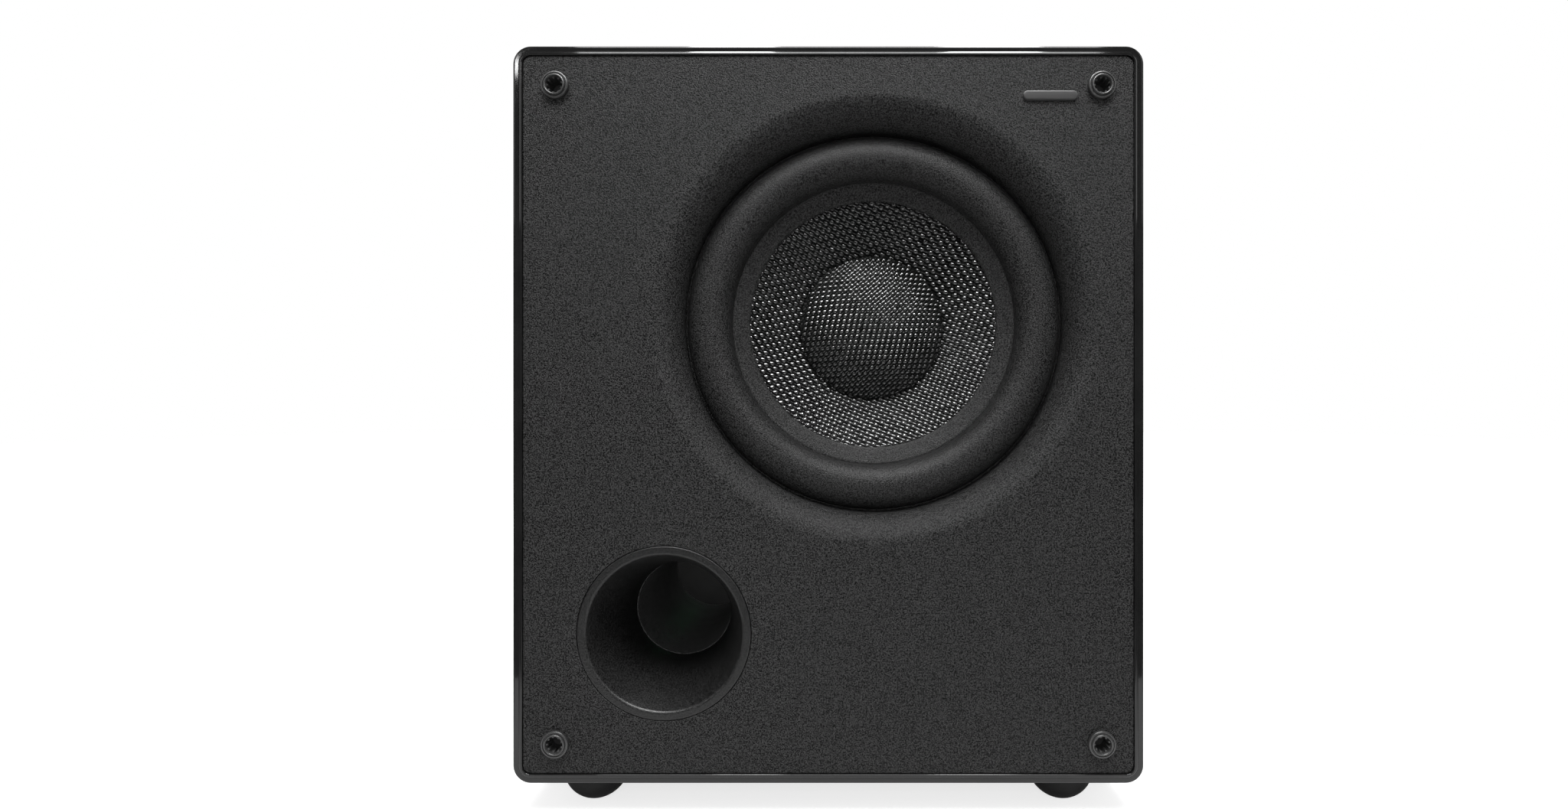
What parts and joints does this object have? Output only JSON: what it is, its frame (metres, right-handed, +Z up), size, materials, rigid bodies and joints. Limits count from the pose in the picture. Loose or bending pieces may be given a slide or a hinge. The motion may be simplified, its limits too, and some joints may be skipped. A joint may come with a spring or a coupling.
{
  "type": "subwoofer",
  "caption": "Active bass-reflex loudspeaker for low notes: a floor-standing gloss cabinet with a front driver, a front port and an amplifier on the back.",
  "frame": {"origin": "on the floor, under the middle of the bounding box", "axes": "+Z up, the front faces -Y, +X to the right of someone who faces the front"},
  "size_m": [0.39, 0.426, 0.478],
  "materials": {
    "gloss_lacquer": "piano-gloss black lacquer over fibreboard",
    "satin_panel": "satin charcoal coating with a fine grain, over fibreboard",
    "fibreboard": "bare fibreboard",
    "rear_board": "matt black paint over fibreboard",
    "black_rubber": "moulded rubber, satin",
    "gasket_foam": "closed-cell foam",
    "woven_fibre": "woven glass fibre in dark resin",
    "port_plastic": "matt moulded plastic",
    "black_plastic": "moulded plastic",
    "badge_metal": "dark anodised",
    "coated_casting": "black powder coat",
    "former_foil": "aluminium foil",
    "zinc_steel": "zinc plated",
    "ferrite": "sintered ferrite",
    "copper": "enamelled copper",
    "treated_cloth": "resin-treated cloth",
    "black_aluminium": "fine-textured black powder coat",
    "circuit_laminate": "solder mask",
    "bright_metal": "nickel plated",
    "indicator_lens": "clear tinted"
  },
  "bodies": {
    "root": {"cabinet_shell": "gloss_lacquer", "front_panel": "satin_panel", "front_baffle": "fibreboard", "rear_panel": "rear_board", "window_brace": "fibreboard", "badge": "badge_metal", "port_flare": "port_plastic", "port_tube": "port_plastic", "port_inner_flare": "port_plastic", "basket": "coated_casting", "driver_gasket": "gasket_foam", "surround": "black_rubber", "spider": "treated_cloth", "top_plate": "zinc_steel", "magnet": "ferrite", "pole_yoke": "zinc_steel", "driver_terminal": "black_plastic", "tinsel_lead_left": "copper", "tinsel_lead_right": "copper", "speaker_cable": "black_plastic", "amp_plate": "black_aluminium", "amp_gasket": "gasket_foam", "heatsink": "black_aluminium", "circuit_board": "circuit_laminate", "transformer": "copper", "capacitor_left": "black_plastic", "capacitor_right": "black_plastic", "mains_inlet": "black_plastic", "fuse_cap": "black_plastic", "switch_housing": "black_plastic", "volume_pot": "bright_metal", "crossover_pot": "bright_metal", "slide_switch_body": "bright_metal", "input_jacks": "bright_metal", "status_led": "indicator_lens", "grille_socket_upper_left": "black_rubber", "grille_socket_upper_right": "black_rubber", "grille_socket_lower_left": "black_rubber", "grille_socket_lower_right": "black_rubber", "foot_front_left": "black_rubber", "foot_front_right": "black_rubber", "foot_rear_left": "black_rubber", "foot_rear_right": "black_rubber", "driver_screw_1": "zinc_steel", "driver_screw_2": "zinc_steel", "driver_screw_3": "zinc_steel", "driver_screw_4": "zinc_steel", "driver_screw_5": "zinc_steel", "driver_screw_6": "zinc_steel"},
    "driver_cone": {"cone": "woven_fibre", "dust_cap": "woven_fibre", "coil_former": "former_foil", "voice_coil": "copper"},
    "volume_control": {"volume_knob": "black_plastic", "volume_shaft": "bright_metal"},
    "crossover_control": {"crossover_knob": "black_plastic", "crossover_shaft": "bright_metal"},
    "phase_slider": {"phase_switch": "black_plastic"},
    "power_mode_slider": {"power_mode_switch": "black_plastic"},
    "rocker": {"mains_rocker": "black_plastic"}
  },
  "joints": [
    {"name": "cone_stroke", "type": "slide", "parent": "root", "child": "driver_cone", "axis": [0, -1, 0], "range_m": [-0.01, 0.01], "stiffness_N_per_m": 3000, "deforming": ["surround", "spider", "tinsel_lead_left", "tinsel_lead_right"]},
    {"name": "volume_turn", "type": "hinge", "parent": "root", "child": "volume_control", "pos_m": [-0.062, 0.205, 0.246], "axis": [0, 1, 0], "range_deg": [-150, 150]},
    {"name": "crossover_turn", "type": "hinge", "parent": "root", "child": "crossover_control", "pos_m": [0.062, 0.205, 0.246], "axis": [0, 1, 0], "range_deg": [-150, 150]},
    {"name": "phase_slide", "type": "slide", "parent": "root", "child": "phase_slider", "axis": [1, 0, 0], "range_m": [0, 0.004]},
    {"name": "power_mode_slide", "type": "slide", "parent": "root", "child": "power_mode_slider", "axis": [1, 0, 0], "range_m": [0, 0.004]},
    {"name": "mains_rocker_tilt", "type": "hinge", "parent": "root", "child": "rocker", "pos_m": [-0.014, 0.196, 0.15], "axis": [1, 0, 0], "range_deg": [-20, 0]}
  ]
}
